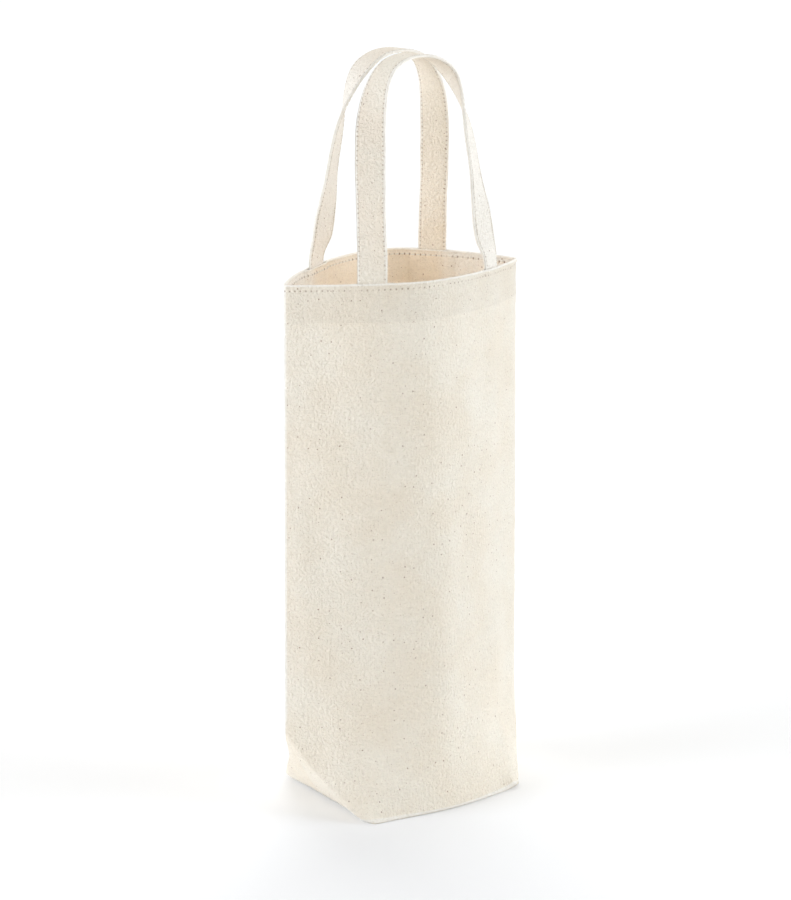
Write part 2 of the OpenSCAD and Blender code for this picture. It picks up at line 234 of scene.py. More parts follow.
# %% Build a canvas
def canvas(
    name, colour, warm, rows=(), edges=(), band=None, bounce_lit_face=None, hole_tone=0.5, painted_light=None
):
    """A canvas material.

    rows are lines of stitches on the pattern, each an axis, a place and a
    pitch. edges get a painted highlight, each an axis, a place and a reach.
    Above band the cloth lies double and is painted darker, as painted shade.
    Where band is given, the cloth also gets painted light near the floor, and
    the highlight along its seams fades out between 60 and 45 mm up.
    Between the two places of bounce_lit_face, a strap's inner face is painted
    warmer, as painted light thrown back from the bag's inside.
    painted_light gives a mask, from places on the pattern, of painted light:
    paler cloth where light comes through it or falls on it.
    """
    material = bpy.data.materials.new(name)
    material.use_nodes = True
    tree = material.node_tree
    shader = tree.nodes["Principled BSDF"]
    uv = Wire(tree, None).node("UVMap", {}, "UV", uv_map="cloth")
    x = uv.node("SeparateXYZ", {"Vector": uv}, "X") / MM
    y = uv.node("SeparateXYZ", {"Vector": uv}, "Y") / MM
    # Yarns wander a little, and no two are equally thick.
    drift = uv.noise(160, 1.0) * 0.9
    across, along = x / YARN + drift, y / YARN - drift
    height = weave(across, along)
    warp_yarn = (across * 0.8).vector(along * 0.1).noise(1.0, 1.0)
    weft_yarn = (across * 0.1).vector(along * 0.8, 7.0).noise(1.0, 1.0)
    nap = uv.noise(620, 3.0)
    cloudy = uv.noise(24, 4.0)
    paint = cloudy.ramp(0.32, 0.68).mix(warm, colour)
    # A strap's inner face is painted warmer, as painted light from the bag's inside.
    if bounce_lit_face:
        start, end = bounce_lit_face
        inner = x.ramp(start, start + 0.8) * x.ramp(end + 0.8, end)
        paint = inner.mix(paint, WARM_BOUNCE)
    # Painted light: paler cloth where light comes through it or falls on it.
    if painted_light:
        paint = painted_light(x, y).mix(paint, LIT)
    paint = warp_yarn.tint(0.95, 1.04, paint)
    paint = weft_yarn.tint(0.95, 1.04, paint)
    paint = nap.tint(0.92, 1.07, paint)
    paint = height.tint(0.93, 1.02, paint)
    # Husk: many faint flecks, fine dust, and a few dark ones.
    faint = flecks(uv, 2.1, 0.34, 0.1, 0.32)
    paint = (faint * 0.4).mix(paint, FAINT_HUSK)
    speck = uv.noise(1150, 1.0).ramp(0.6, 0.74)
    paint = (speck * 0.3).mix(paint, DUST)
    dark = flecks(uv, 6.0, 0.36, 0.12, 0.5)
    paint = (dark * 0.75).mix(paint, HUSK)
    relief = height + warp_yarn * 1.6 + weft_yarn * 1.6 + nap * 8.5
    if band:
        # Painted shade where the cloth lies double, above the band's edge.
        paint = y.ramp(band - 0.8, band + 0.8).tint(1.0, DOUBLE_LAYER_SHADE, paint)
        # Painted light from the floor: the cloth is paler towards the bottom.
        paint = y.ramp(FLOOR_BOUNCE_REACH, 0).tint(1.0, FLOOR_BOUNCE_LIGHT, paint)
    places = {"x": (x, y), "y": (y, x)}
    # Each edge gets a painted highlight. On the outside, the highlight along the seams fades out
    # towards the corner faces.
    for axis, edge, reach in edges:
        fold = places[axis][0].near(edge, reach) * 0.7
        if band and axis == "x":
            fold = fold * y.ramp(45, 60)
        paint = fold.mix(paint, PAINTED_HIGHLIGHT)
    for axis, row, pitch in rows:
        holes = needle_holes(*places[axis], row, pitch)
        paint = (holes * hole_tone).mix(paint, HOLE_SHADE)
        relief = relief - holes * 1.6
    tree.links.new(paint.socket, shader.inputs["Base Color"])
    rough = cloudy * 0.1 + 0.84
    tree.links.new(rough.socket, shader.inputs["Roughness"])
    keys = {"Height": relief, "Strength": 0.9, "Distance": 0.2 * MM}
    bump = relief.node("Bump", keys, "Normal")
    tree.links.new(bump.socket, shader.inputs["Normal"])
    shader.inputs["Specular IOR Level"].default_value = 0.25
    shader.inputs["Sheen Weight"].default_value = 0.12
    shader.inputs["Sheen Roughness"].default_value = 0.5
    return material


# %% Sizes that the cloth's marks need
BASE_W, BASE_D, BAG_H = 100, 96, 314
PANEL_W = BASE_W + BASE_D
FACING_H, STITCH_DROP = 22, 3.6
STRAP_W, STRAP_T, ROW_IN, FOLD_W = 17, 1.8, 1.4, 1.5
MOUTH_PITCH, STRAP_PITCH = 3.2, 2.6
# The span of a strap's inner face, which gets painted warm light.
BOUNCE_LIT_FACE = STRAP_W / 2 + 0.6, STRAP_W * 1.5 + STRAP_T
strap_rows = (STRAP_W / 2 - ROW_IN, ROW_IN - STRAP_W / 2)
strap_lines = [("x", at, STRAP_PITCH) for r in strap_rows for at in (r, STRAP_W + FOLD_W - r)]
mouth_line = [("y", BAG_H - STITCH_DROP, MOUTH_PITCH)]
# A painted highlight along the mouth's rim.
mouth_rim_highlight = ("y", BAG_H, 1.3)
print("a panel is", PANEL_W, "mm wide, and a strap", STRAP_W)

# %% Canvas for the outside, the lining, the straps and the seams
CREAM, WARM_CREAM = (0.905, 0.836, 0.71, 1), (0.885, 0.794, 0.652, 1)
# The lining is the same canvas, painted warmer as painted light that comes through the cloth into
# the bag.
LIT_LINING, WARM_LIT_LINING = (0.93, 0.82, 0.665, 1), (0.92, 0.79, 0.62, 1)
outer_canvas = canvas(
    "canvas",
    CREAM,
    WARM_CREAM,
    mouth_line,
    # Painted highlights along the mouth's rim, the hem and both side seams.
    [mouth_rim_highlight, ("y", 0.8, 1.6), ("x", -PANEL_W / 2, 1.6), ("x", PANEL_W / 2, 1.6)],
    band=BAG_H - FACING_H,
    hole_tone=0.6,
)
lining_canvas = canvas(
    "canvas_lining",
    LIT_LINING,
    WARM_LIT_LINING,
    mouth_line,
    [mouth_rim_highlight],
    hole_tone=0.85,
    # The lining's sides are painted paler with the light that comes through them.
    painted_light=lambda x, y: abs(x).ramp(46, 62) * 0.9,
)
strap_canvas = canvas(
    "strap_canvas",
    CREAM,
    (0.89, 0.79, 0.655, 1),
    strap_lines,
    # Painted highlights along both edges of the strap.
    [("x", STRAP_W / 2 + 0.7, 2.4), ("x", -STRAP_W / 2, 1.7), ("x", BOUNCE_LIT_FACE[1], 1.5)],
    bounce_lit_face=BOUNCE_LIT_FACE,
    # One leg of each strap is painted paler, as painted light.
    painted_light=lambda x, y: y.ramp(0, 60) * 0.85,
)
seam_canvas = canvas("seam_canvas", LIT_LINING, WARM_LIT_LINING)
print("canvas:", len(outer_canvas.node_tree.nodes), "nodes in the outer one")

# %% [markdown]
# ## Sewing thread
#
# A stitch is three millimetres of twisted cotton. At that size the twist shows
# only as fine slanting stripes, so noise stretched along one direction is
# enough, and it reads Object coordinates because a stitch has no cloth of its own.

# %% Make the thread
thread = bpy.data.materials.new("thread")
thread.use_nodes = True
place = Wire(thread.node_tree, None).node("TexCoord", {}, "Object")
slanted = place.node(
    "Mapping", {"Vector": place, "Rotation": (0.5, 0.4, 0.6), "Scale": (6000, 900, 6000)}
)
twist = slanted.noise(1.0, 1.0)
tone = twist.ramp(0.35, 0.65).mix((0.7, 0.63, 0.52, 1), (0.88, 0.84, 0.75, 1))
thread_shader = thread.node_tree.nodes["Principled BSDF"]
thread.node_tree.links.new(tone.socket, thread_shader.inputs["Base Color"])
twist_keys = {"Height": twist, "Strength": 0.6, "Distance": 0.06 * MM}
thread_bump = twist.node("Bump", twist_keys, "Normal")
thread.node_tree.links.new(thread_bump.socket, thread_shader.inputs["Normal"])
thread_shader.inputs["Roughness"].default_value = 0.62
print("thread ready")

# %% [markdown]
# ## The shape of the standing bag
#
# Each panel spans the same width of cloth at every height. Seen from above it
# is a flat-sided bulge with a soft ridge, which stands a little off the middle.
# Near the floor, the boxed corners fold it into a rectangle. So the shape is
# one function: a line for each height, on which a place is found by its
# distance along the cloth, exactly as on the flat pattern.

# %% Lines of the panel, height by height
MOUTH_W, SHOULDER_W, SEAM_DIP = 160, 165, 4
BASE_BOW, RIDGE_SHIFT, FACET_H, CLOTH_T = 4, 18, 47, 0.7
RIDGE_POWER, SPREAD_POWER, SWELL_POWER = 1.8, 0.65, 0.85
HEM_R = 2.0


def mix(a, b, share):
    return a + (b - a) * share


def smooth(share):
    share = np.clip(share, 0, 1)
    return share * share * (3 - 2 * share)


def bell(distance, reach):
    return np.exp(-((distance / reach) ** 2))


def lens(half_w, ridge, depth):
    """The bulge of a panel, from its left end to its right one."""
    u = np.linspace(-1, 1, 401)
    x = ridge + u * np.where(u < 0, half_w + ridge, half_w - ridge)
    return np.column_stack((x, -depth * (1 - np.abs(u) ** RIDGE_POWER)))


def lengths(line):
    """Distance along a line at each of its points."""
    steps = np.linalg.norm(np.diff(line, axis=0), axis=1)
    return np.concatenate(([0], np.cumsum(steps)))


def spanned_depth(half_w, ridge):
    """Depth at which the cloth of one panel just spans the bulge."""
    low, high = 0, PANEL_W / 2
    for _ in range(30):
        middle = (low + high) / 2
        short = lengths(lens(half_w, ridge, middle))[-1] < PANEL_W
        low, high = (middle, high) if short else (low, middle)
    return low


def ridge_at(z):
    return -RIDGE_SHIFT * z / BAG_H


shoulder_depth = spanned_depth(SHOULDER_W / 2, ridge_at(FACET_H))
mouth_depth = spanned_depth(MOUTH_W / 2, ridge_at(BAG_H))
print("depth at the corner faces and the mouth:", round(shoulder_depth, 2), round(mouth_depth, 2))


# %% One line, with its creases softened
SOFT_POINTS, SIDE_POINTS = 1200, 60
CREASE_R, FACET_R = 1.6, 3.0


def soften(line, reach):
    """Rounds the corners of a line over a reach, and keeps its ends."""
    along = lengths(line)
    even_at = np.linspace(0, along[-1], SOFT_POINTS)
    even = np.column_stack([np.interp(even_at, along, line[:, c]) for c in (0, 1)])
    k = max(1, int(reach / even_at[1]))
    before, after = 2 * even[0] - even[k:0:-1], 2 * even[-1] - even[-2 : -k - 2 : -1]
    padded = np.vstack((before, even, after))
    kernel = np.hanning(2 * k + 3)[1:-1]
    kernel = kernel / kernel.sum()
    return np.column_stack([np.convolve(padded[:, c], kernel, "valid") for c in (0, 1)])


@functools.lru_cache(maxsize=None)
def section(z):
    """The panel's outer line at a height, from the left seam to the right one."""
    if z >= FACET_H:
        v = (z - FACET_H) / (BAG_H - FACET_H)
        half_w = mix(SHOULDER_W, MOUTH_W, v) / 2
        return lens(half_w, ridge_at(z), mix(shoulder_depth, mouth_depth, v))
    s = (max(z, 0) / FACET_H) ** SPREAD_POWER
    half_w = mix(BASE_W, SHOULDER_W, s) / 2
    crease = BASE_D / 2 * (1 - s)
    swell = mix(BASE_BOW, shoulder_depth, s**SWELL_POWER)
    front = lens(half_w, ridge_at(z), swell) - (0, crease)
    side = np.linspace(0, crease, SIDE_POINTS, endpoint=False)
    left = np.column_stack((np.full(SIDE_POINTS, -half_w), -side))
    right = np.column_stack((np.full(SIDE_POINTS, half_w), -side[::-1]))
    return soften(np.vstack((left, front, right)), mix(CREASE_R, FACET_R, s))


print("the base's line has", len(section(0)), "points")

# %% [markdown]
# ## What hanging and sewing do to the cloth
#
# Cloth is never as smooth as its pattern. It ripples where it hangs free, puckers
# along each seam, dips under a row of stitches and swells where a strap's end is
# sewn in behind it. At the floor it is puckered off the ground beside the seams,
# and the corners of the base stand full. These are small numbers, and the light
# shows all of them.

# %% Where each panel ripples, puckers and stands full
FOOT_PLACES, TAIL_H = (-47, 47), 19
FRONT, BACK = 1, 5
# Puckers of the hem: place along it, lift and reach.
PUCKERS = {
    FRONT: (
        (-95, 1.9, 2.6),
        (-86, 1.3, 3),
        (-74, 0.7, 3),
        (49, 1.7, 4.5),
        (91, 0.9, 3),
        (80, 0.5, 3),
    ),
    BACK: (
        (82, 2.3, 2.4),
        (92, 1.3, 2.6),
        (52, 3.3, 7),
        (-92, 0.9, 3),
        (-84, 0.6, 3),
        (-30, 0.4, 5),
    ),
}
# Full corners of the base: place, height and how far they stand out.
FULL_CORNERS = {
    FRONT: ((-53, 6, 2.6), (52, 6, 1.4), (58, 26, 1.8)),
    BACK: ((60, 18, 3.7), (-53, 8, 1.6), (-58, 22, 1.0)),
}
CORNER_REACH = 14
# Ripples of cloth that hangs free: height, width and length.
RIPPLES = ((2.6, 62, 105), (2.3, 26, 50))
SEAM_PUCKER, RIM_SWELL, TAIL_SWELL, BAND_STEP = 0.34, 0.6, 0.35, 0.22
ROW_DIP, ROW_PUCKER = 0.26, 0.07
print("puckers on the front's hem:", len(PUCKERS[FRONT]))


# %% Ripples, puckers and dips
def uneven(places, height, wide, tall, layer):
    """Smooth noise for places along the cloth at one height."""
    return np.array([noise.noise(Vector((a / wide, height / tall, layer))) for a in places])


def ripple(s, h, seed, wide, tall):
    return uneven(s, h, wide, tall, seed * 7.31)


def hem_lift(s, seed):
    """How far the bottom edge is off the floor, where it is puckered."""
    return sum(lift * bell(s - place, reach) for place, lift, reach in PUCKERS[seed])


def sewn_relief(s, drop):
    """What the facing, the strap ends and the stitches do near the mouth."""
    out = BAND_STEP * smooth((FACING_H + 0.8 - drop) / 1.6)
    out += RIM_SWELL * bell(drop - 1.4, 1.1)
    for foot in FOOT_PLACES:
        beside = smooth((STRAP_W / 2 + 2.5 - np.abs(s - foot)) / 4)
        out = out + TAIL_SWELL * beside * smooth((TAIL_H + 2 - drop) / 4)
    pucker = np.cos(2 * math.pi * s / MOUTH_PITCH)
    out = out + bell(drop - STITCH_DROP, 0.85) * (ROW_PUCKER * pucker - ROW_DIP)
    return out + 0.05 * pucker * bell(drop - STITCH_DROP, 3.0)


def relief(s, h, seed):
    """How far the cloth stands out of its smooth shape, at a height, for each place."""
    to_seam = PANEL_W / 2 - np.abs(s)
    drop = BAG_H - h
    free = smooth(to_seam / 16) * smooth(h / 26) * mix(0.25, 1, smooth(drop / 45))
    out = np.zeros(len(s))
    for layer, (level, wide, tall) in enumerate(RIPPLES):
        out += free * level * ripple(s, h, seed + layer, wide, tall)
    out += 0.1 * smooth(h / 10) * ripple(s, h, seed + 2, 7, 9)
    out += SEAM_PUCKER * bell(to_seam - 2.5, 4.5) * ripple(s, h, seed + 3, 40, 6.5)
    for place, height, level in FULL_CORNERS[seed]:
        out += level * bell(s - place, CORNER_REACH) * bell(h - height, CORNER_REACH)
    # The right side stands full all the way up.
    out += 0.9 * bell(s - 78, 14) * smooth(h / 30)
    out += 0.5 * hem_lift(s, seed) * bell(h - 3, 6)
    return out + sewn_relief(s, drop)


mid_front = relief(np.array([-60.0, 0, 60]), BAG_H / 2, FRONT)
print("halfway up, the front stands out by", mid_front.round(2).tolist(), "mm")

# %% Points of the standing cloth
SEAM_PULL, SEAM_REACH, LIFT_REACH = 0.35, 2.4, 5


def turned_under(h):
    """Height above the floor and the way inward of the bottom edge, which is rounded."""
    turn_len = HEM_R * math.pi / 4
    if h >= FACET_H:
        return h, 0.0
    if h >= turn_len:
        return mix(HEM_R, FACET_H, (h - turn_len) / (FACET_H - turn_len)), 0.0
    angle = (turn_len - h) / turn_len * math.pi / 4
    return HEM_R * (1 - math.sin(angle)), HEM_R * (1 - math.cos(angle))


def wall(h, s, seed, inset=0.0):
    """Points of the cloth at a height on the pattern, for places along it."""
    z, tuck = turned_under(h)
    line = section(z)
    along = lengths(line)
    at = (s / PANEL_W + 0.5) * along[-1]
    tangent = np.gradient(line, axis=0)
    p = np.column_stack([np.interp(at, along, line[:, c]) for c in (0, 1)])
    t = np.column_stack([np.interp(at, along, tangent[:, c]) for c in (0, 1)])
    t /= np.linalg.norm(t, axis=1)[:, None]
    n = np.column_stack((t[:, 1], -t[:, 0]))
    level = np.full(len(s), float(z))
    if h > FACET_H:
        v = (h - FACET_H) / (BAG_H - FACET_H)
        half_w, ridge = mix(SHOULDER_W, MOUTH_W, v) / 2, ridge_at(h)
        u = (p[:, 0] - ridge) / np.where(p[:, 0] < ridge, half_w + ridge, half_w - ridge)
        level = level - SEAM_DIP * u * u * v
    level = level + hem_lift(s, seed) * bell(h, LIFT_REACH)
    at_seam = bell(PANEL_W / 2 - np.abs(s), 0.4)
    out = relief(s, min(h, BAG_H), seed) - tuck - inset
    flat = p + n * (out * (1 - at_seam))[:, None]
    pull = SEAM_PULL * bell(PANEL_W / 2 - np.abs(s), SEAM_REACH) * smooth(h / 6)
    slant = np.maximum(np.abs(n[:, 0]), 0.5)
    x = flat[:, 0] - np.sign(s) * (pull + (inset + tuck) / slant * at_seam)
    return np.column_stack((x, flat[:, 1], level))


mouth_test = wall(BAG_H, np.array([-0.5, 0, 0.5]) * PANEL_W, FRONT)
print("mouth's edge runs through", mouth_test.round(1).tolist())

# %% [markdown]
# ## The panels
#
# A panel is cut from flat cloth: a rectangle with its two lower corners cut
# away, so that the base can be boxed. Starting from that pattern keeps the weave
# straight and the seams the right length. A grid gives the flat cloth, the
# corners are deleted as scissors would, and every vertex is then folded to its
# place. A Solidify modifier gives the cloth its thickness.


# %% Lay out and fold a grid
def spaced(*runs):
    """Numbers from run to run, each given as start, end and step."""
    parts = [np.linspace(a, b, max(2, round(abs(b - a) / step) + 1)) for a, b, step in runs]
    return np.unique(np.concatenate(parts).round(4))


def grid_piece(name, columns, rows, fold, keep=None):
    """A grid of cloth: laid flat on the pattern, cut, given UVs, then folded."""
    bm = bmesh.new()
    bmesh.ops.create_grid(bm, x_segments=len(columns) - 1, y_segments=len(rows) - 1, size=1)
    count_x, count_y = len(columns) - 1, len(rows) - 1
    column_of, row_of = bm.verts.layers.int.new("column"), bm.verts.layers.int.new("row")
    for v in bm.verts:
        v[column_of] = round((v.co.x + 1) / 2 * count_x)
        v[row_of] = round((v.co.y + 1) / 2 * count_y)
        v.co = (columns[v[column_of]], rows[v[row_of]], 0)
    if keep:
        cut = [f for f in bm.faces if not keep(f.calc_center_median())]
        bmesh.ops.delete(bm, geom=cut, context="FACES")
    uv = bm.loops.layers.uv.new("cloth")
    for face in bm.faces:
        for loop in face.loops:
            loop[uv].uv = loop.vert.co.xy * MM
    placed = [fold(row) for row in rows]
    for v in bm.verts:
        v.co = Vector(placed[v[row_of]][v[column_of]]) * MM
    return finish_mesh(name, bm)


def finish_mesh(name, bm):
    for face in bm.faces:
        face.smooth = True
    mesh = bpy.data.meshes.new(name)
    bm.to_mesh(mesh)
    bm.free()
    piece = bpy.data.objects.new(name, mesh)
    bpy.context.scene.collection.objects.link(piece)
    return piece


def turned(points, side):
    """The back half is the front half turned half a circle."""
    return points * (side, side, 1)


# %% Fold the base under
def base_row(h, s, seed):
    """Points of the half base: its front edge and its sides are the wall's own lowest row."""
    share = -h / (BASE_D / 2)
    front = wall(0, s, seed)
    ends = wall(0, np.array([-1, 1]) * (BASE_W / 2 + share * BASE_D / 2), seed)
    starts = wall(0, np.array([-1, 1]) * BASE_W / 2, seed)
    side = np.where(s < 0, 0, 1)
    x = front[:, 0] * ends[side, 0] / starts[side, 0]
    y = front[:, 1] * ends[side, 1] / starts[side, 1]
    inside = np.minimum(np.abs(front[:, 1]) - np.abs(y), np.abs(ends[side, 0]) - np.abs(x))
    inside = np.clip(inside, 0, HEM_R * math.sqrt(0.5))
    z = HEM_R - np.sqrt(HEM_R**2 - (HEM_R * math.sqrt(0.5) - inside) ** 2)
    z = z + 0.45 * bell(np.abs(y), 1.2)
    at_side = hem_lift(np.sign(s) * (BASE_W / 2 - h), seed)
    at_side = at_side * bell(BASE_W / 2 - np.abs(s), LIFT_REACH)
    z = z + np.maximum(at_side, hem_lift(s, seed) * bell(h, LIFT_REACH))
    return np.column_stack((x, y, z))


base_middle = base_row(-BASE_D / 2, np.zeros(1), FRONT)[0]
print("the base's inner edge is at", base_middle.round(2).tolist())

# %% Space the grid: fine at seams, folds and stitches
panel_columns = spaced(
    (-98, -94, 0.8),
    (-94, -50, 1.4),
    (-50, 50, 1.4),
    (50, 94, 1.4),
    (94, 98, 0.8),
)
panel_rows = spaced(
    (-48, -45, 1),
    (-45, -3, 3),
    (-3, 4, 0.7),
    (4, 50, 1.6),
    (50, 286, 2.6),
    (286, 302, 1.3),
    (302, 314, 0.7),
)
print("panel grid:", len(panel_columns), "by", len(panel_rows))

# %% Make both panels
EDGE_R, SHARP_ANGLE = 0.24, math.radians(62)


def give_thickness(piece, thickness, offset=-1, edge=EDGE_R):
    """Makes a sheet into cloth with two faces, and rounds its cut edges."""
    thick = piece.modifiers.new("thickness", "SOLIDIFY")
    thick.thickness, thick.offset, thick.use_even_offset = thickness * MM, offset, True
    round_edge = piece.modifiers.new("rounded_edge", "BEVEL")
    round_edge.width, round_edge.segments, round_edge.profile = edge * MM, 2, 0.5
    round_edge.limit_method, round_edge.angle_limit = "ANGLE", SHARP_ANGLE
    return thick


def make_panel(name, side, seed):
    def fold(h):
        points = wall(h, panel_columns, seed) if h >= 0 else base_row(h, panel_columns, seed)
        return turned(points, side)

    def keep(centre):
        return centre.y > 0 or abs(centre.x) < BASE_W / 2

    piece = grid_piece(name, panel_columns, panel_rows, fold, keep)
    give_thickness(piece, CLOTH_T).material_offset = 1
    piece.data.materials.append(outer_canvas)
    piece.data.materials.append(lining_canvas)
    return piece


front_cloth = make_panel("front_cloth", 1, FRONT)
back_cloth = make_panel("back_cloth", -1, BACK)
print("panel:", len(front_cloth.data.polygons), "faces before its thickness")

# %% [markdown]
# ## The band inside the mouth
#
# The facing is a second layer that lines the top of the bag and hides the ends
# of the straps. It follows the panel, and steps inward where a strap's end lies
# between the two. Its lower edge is left free, because the photograph shows no
# row of stitches there.

# %% Make both facings
LAY_GAP, RAMP_W, FOOT_CLEAR = 0.2, 6, 0.5
HELD_H = 8
facing_rows = spaced((BAG_H - FACING_H, BAG_H - HELD_H, 1.4), (BAG_H - HELD_H, BAG_H - 0.15, 0.7))
facing_columns = spaced((-97.2, 97.2, 1.4))


def over_end(s):
    """1 over a strap's end, falling to 0 beside it."""
    near = [STRAP_W / 2 + FOOT_CLEAR + RAMP_W - np.abs(s - foot) for foot in FOOT_PLACES]
    return smooth(np.maximum(*near) / RAMP_W)


def facing_inset(s, h):
    """How far the facing lies inside the panel: by its thickness, and by a strap's end."""
    loose = 0.25 * smooth((BAG_H - h - HELD_H) / 14) * (1 + ripple(s, h, 11, 14, 30))
    return CLOTH_T + 0.04 + over_end(s) * (STRAP_T + LAY_GAP) + loose


def make_facing(name, side, seed):
    def fold(h):
        inset = facing_inset(facing_columns, h)
        return turned(wall(h, facing_columns, seed, inset), side)

    piece = grid_piece(name, facing_columns, facing_rows, fold)
    give_thickness(piece, CLOTH_T)
    piece.data.materials.append(lining_canvas)
    return piece


front_band = make_facing("front_band", 1, FRONT)
back_band = make_facing("back_band", -1, BACK)
print("facing:", len(front_band.data.polygons), "faces before its thickness")

# %% [markdown]
# ## The straps
#
# A strap is a strip of canvas folded into four layers and stitched along both
# edges. It leaves the mouth flat against the panel, turns on its way up, and
# lies flat over the hand at the top. It is one piece from sewn end to sewn end:
# a grid is wrapped round a flat section that follows the arch, and the two
# edges of the grid are merged into a closed tube.

# %% The line of the arch
HANDLE_H, TOP_GAP = 122, 15
LEG_PULL, LEG_TAPER, CROWN_PULL = 0.6, 0.19, 0.94
TURN_START, TURN_END = 0.3, 0.8
# Extra turns of the outer legs: degrees, place up the leg and reach.
LEFT_TURN, RIGHT_TURN, RIGHT_RETURN = (-15, 0.17, 0.13), (-15, 0.11, 0.1), (7, 0.31, 0.1)
FOOT_INSET = CLOTH_T + LAY_GAP + STRAP_T / 2


def bezier(a, b, c, d, s):
    return a * (1 - s) ** 3 + 3 * b * s * (1 - s) ** 2 + 3 * c * (1 - s) * s**2 + d * s**3


def plain_foot(place):
    """A foot on the smooth shape, and the way the cloth runs there."""
    line = section(BAG_H)
    along = lengths(line)
    at = place + along[-1] / 2
    p = np.array([np.interp(at, along, line[:, c]) for c in (0, 1)])
    ahead = np.array([np.interp(at + 0.2, along, line[:, c]) for c in (0, 1)])
    way = (ahead - p) / np.linalg.norm(ahead - p)
    reach = MOUTH_W / 2 - np.sign(p[0] - ridge_at(BAG_H)) * ridge_at(BAG_H)
    u = (p[0] - ridge_at(BAG_H)) / reach
    inset = p - np.array((way[1], -way[0])) * FOOT_INSET
    return np.array((*inset, BAG_H - SEAM_DIP * u * u)), math.atan2(way[1], way[0])


(foot_l, angle_l), (foot_r, angle_r) = (plain_foot(place) for place in FOOT_PLACES)
span = foot_r - foot_l
span[2] = 0
half_span = np.linalg.norm(span) / 2
across_dir = span / np.linalg.norm(span)
inward_dir = np.array((-across_dir[1], across_dir[0], 0))
arch_middle = (foot_l + foot_r) / 2
lean = math.asin((-arch_middle @ inward_dir - (TOP_GAP + STRAP_W) / 2) / HANDLE_H)
rising = inward_dir * math.sin(lean) + np.array((0, 0, math.cos(lean)))
top_angle = math.atan2(-inward_dir[1], -inward_dir[0])


def arch(t):
    s = 1 - abs(t)
    out = bezier(half_span, half_span * (1 - LEG_TAPER), half_span * CROWN_PULL, 0, s)
    up = bezier(0, HANDLE_H * LEG_PULL, HANDLE_H, HANDLE_H, s)
    level = mix((foot_l if t < 0 else foot_r)[2], arch_middle[2], s)
    base = np.array((arch_middle[0], arch_middle[1], level))
    return base + across_dir * (-out if t < 0 else out) + rising * up


@functools.lru_cache(maxsize=None)
def strap_frame(t):
    """Way across the strap and out of it, at a share of the arch from -1 to 1."""
    s = 1 - abs(t)
    foot = angle_l if t < 0 else angle_r - math.pi
    angle = mix(foot, top_angle, smooth((s - TURN_START) / (TURN_END - TURN_START)))
    for degrees, up, reach in (LEFT_TURN,) if t < 0 else (RIGHT_TURN, RIGHT_RETURN):
        angle += math.radians(degrees) * bell(s - up, reach)
    flat = np.array((math.cos(angle), math.sin(angle), 0))
    way = arch(min(t + 0.01, 1)) - arch(max(t - 0.01, -1))
    way /= np.linalg.norm(way)
    w = flat - way * (flat @ way) * np.clip(s * 9, 0, 1)
    w /= np.linalg.norm(w)
    n = np.cross(w, way)
    return w, n / np.linalg.norm(n)


arch_ts = np.linspace(-1, 1, 601)
arch_line = np.array([arch(t) for t in arch_ts])
arch_at = lengths(arch_line)
LEG = arch_at[-1] / 2
print("strap: lean", round(math.degrees(lean), 2), "degrees, free length", round(2 * LEG, 1), "mm")


# %% Points of the strap, sewn end to sewn end
JOIN_LEN = 18


def strap_points(along, a, b, seed):
    """Places on the strap: along from its top, each a across its width and b out of its middle."""
    above = LEG - abs(along)
    foot, sign = (FOOT_PLACES[0], 1) if along < 0 else (FOOT_PLACES[1], -1)
    free = float(smooth(above / JOIN_LEN))
    points = np.zeros((len(a), 3))
    if free < 1:
        points += (1 - free) * wall(BAG_H + above, foot + sign * a, seed, FOOT_INSET - b)
    if free > 0:
        t = float(np.interp(along + LEG, arch_at, arch_ts))
        w, n = strap_frame(t)
        points += free * (arch(t) + w * a[:, None] + n * b[:, None])
    return points


strap_top = strap_points(0, np.zeros(1), np.zeros(1), FRONT)[0]
print("the strap's top is at", strap_top.round(1).tolist())


# %% Draw the strap's cross-section
ROW_GROOVE, SHOULDER_SPAN = 0.17, 1.4


def face_bulge(a):
    """Half the strap's thickness, with a groove at each row and rounded shoulders."""
    groove = ROW_GROOVE * bell(abs(a) - strap_rows[0], 0.55)
    return STRAP_T / 2 - groove - 0.2 * max(0, abs(a) - STRAP_W / 2 + SHOULDER_SPAN) ** 2


half_face = (0, 2.1, 4.2, 5.7, 6.35, 6.8, 7.25, 7.7, 8.1)
across_face = [-a for a in half_face[:0:-1]] + list(half_face)
top_face = [(a, face_bulge(a)) for a in across_face]
under_face = [(a, -b) for a, b in reversed(top_face)]
fold_edge = [(8.38, 0.6), (8.5, 0.25), (8.5, -0.25), (8.38, -0.6)]
lower_lip = [(-8.4, -0.62), (-8.5, -0.32), (-8.2, -0.04)]
open_edge = lower_lip + [(a, -b) for a, b in reversed(lower_lip)]
strap_section = np.array(top_face + fold_edge + under_face + open_edge + top_face[:1])
print("strap's section:", len(strap_section) - 1, "points")

# %% Lay the strap's pattern round its section
tops, folds = len(top_face), len(fold_edge)
round_strap = [a if i < tops else STRAP_W + FOLD_W - a for i, a in enumerate(strap_section[:, 0])]
round_strap[-1] = (STRAP_W + FOLD_W) * 2
for i in range(folds):
    round_strap[tops + i] = STRAP_W / 2 + FOLD_W * (i + 1) / (folds + 1)
strap_stations = spaced((-LEG - TAIL_H, LEG + TAIL_H, 1.1))
print("cloth round a strap:", round_strap[-1], "mm")


